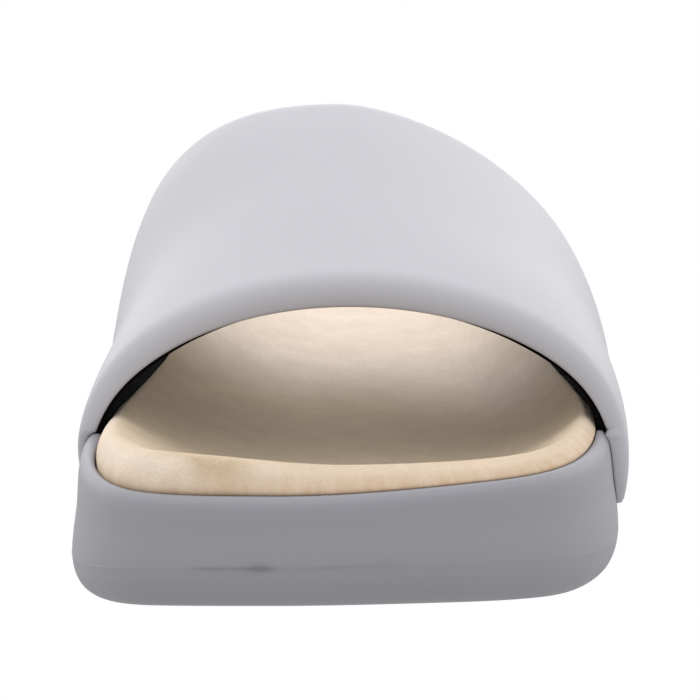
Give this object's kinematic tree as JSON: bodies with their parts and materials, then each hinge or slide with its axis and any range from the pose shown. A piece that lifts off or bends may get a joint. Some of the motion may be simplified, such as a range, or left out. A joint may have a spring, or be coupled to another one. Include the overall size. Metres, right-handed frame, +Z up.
{
  "type": "slide sandal",
  "caption": "Slide sandal for the left foot: a wide moulded strap arched over a contoured suede footbed, which sits in a thick moulded foam sole.",
  "frame": {"origin": "on the floor, under the middle of the sandal's bounding box", "axes": "+Z up from the floor, -Y towards the toe, +Y towards the heel, -X towards the big toe's side"},
  "size_m": [0.1162, 0.2751, 0.0861],
  "materials": {
    "foam": "matt moulded foam, pale cool grey",
    "suede": "napped suede, warm cream"
  },
  "bodies": {
    "root": {"sole": "foam", "strap": "foam", "footbed": "suede"}
  },
  "joints": []
}
